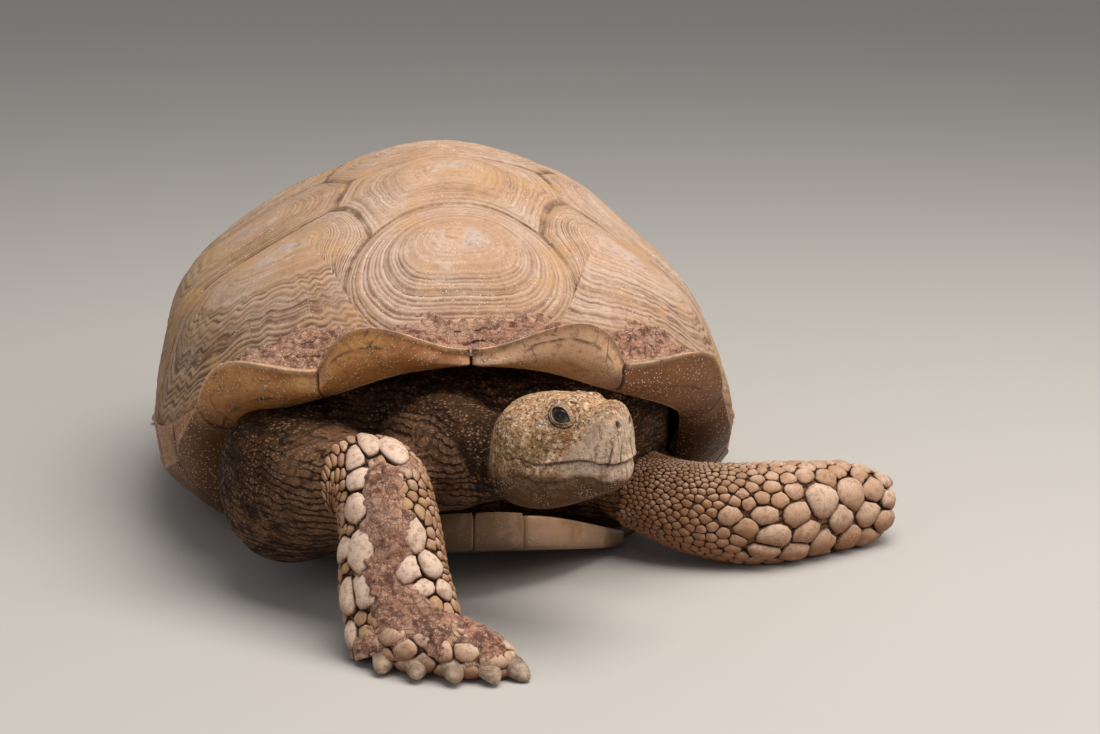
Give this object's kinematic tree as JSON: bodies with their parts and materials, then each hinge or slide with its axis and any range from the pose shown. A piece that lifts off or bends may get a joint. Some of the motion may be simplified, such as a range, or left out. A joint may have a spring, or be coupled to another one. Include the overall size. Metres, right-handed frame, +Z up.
{
  "type": "sulcata tortoise",
  "caption": "Life-size still model of an adult African spurred tortoise resting on its plastron, head raised and turned to its left, left foreleg laid out sideways.",
  "frame": {"origin": "on the floor under the middle of the plastron, in the flat underside of the left abdominal scute, on the shell's midline", "axes": "+Z up, the animal faces -Y, +X is the animal's left"},
  "size_m": [0.7043, 0.9323, 0.3407],
  "materials": {
    "carapace_scute": "dusty worn keratin with concentric growth grooves, matte",
    "rim_scute": "smooth caramel keratin on the flared underside, half matte",
    "plastron_scute": "worn keratin with broad growth rings, half matte",
    "skin": "dry wrinkled skin with granular scales",
    "limb_scale": "pale thick overlapping scales, matte",
    "head_skin": "dry skin with flat plates, matte",
    "beak": "horny beak with fine vertical wear lines, half matte",
    "claw": "blunt horn claws, half matte",
    "eye": "wet dark brown",
    "mud": "dried granular mud, matte"
  },
  "bodies": {
    "root": {"vertebral_1": "carapace_scute", "vertebral_2": "carapace_scute", "vertebral_3": "carapace_scute", "vertebral_4": "carapace_scute", "vertebral_5": "carapace_scute", "costal_left_1": "carapace_scute", "costal_left_2": "carapace_scute", "costal_left_3": "carapace_scute", "costal_left_4": "carapace_scute", "marginal_left_1": "rim_scute", "marginal_left_2": "rim_scute", "marginal_left_3": "rim_scute", "marginal_left_4": "rim_scute", "marginal_left_5": "rim_scute", "marginal_left_6": "rim_scute", "marginal_left_7": "rim_scute", "marginal_left_8": "rim_scute", "marginal_left_9": "rim_scute", "marginal_left_10": "rim_scute", "marginal_left_11": "rim_scute", "costal_right_1": "carapace_scute", "costal_right_2": "carapace_scute", "costal_right_3": "carapace_scute", "costal_right_4": "carapace_scute", "marginal_right_1": "rim_scute", "marginal_right_2": "rim_scute", "marginal_right_3": "rim_scute", "marginal_right_4": "rim_scute", "marginal_right_5": "rim_scute", "marginal_right_6": "rim_scute", "marginal_right_7": "rim_scute", "marginal_right_8": "rim_scute", "marginal_right_9": "rim_scute", "marginal_right_10": "rim_scute", "marginal_right_11": "rim_scute", "supracaudal": "rim_scute", "gular_left": "plastron_scute", "humeral_left": "plastron_scute", "pectoral_left": "plastron_scute", "abdominal_left": "plastron_scute", "femoral_left": "plastron_scute", "anal_left": "plastron_scute", "gular_right": "plastron_scute", "humeral_right": "plastron_scute", "pectoral_right": "plastron_scute", "abdominal_right": "plastron_scute", "femoral_right": "plastron_scute", "anal_right": "plastron_scute", "trunk": "skin", "neck": "skin", "head": "head_skin", "lower_jaw": "beak", "eye_left": "eye", "eye_right": "eye", "tail": "skin", "foreleg_left": "skin", "foreleg_right": "skin", "hindleg_left": "skin", "hindleg_right": "skin"}
  },
  "joints": []
}
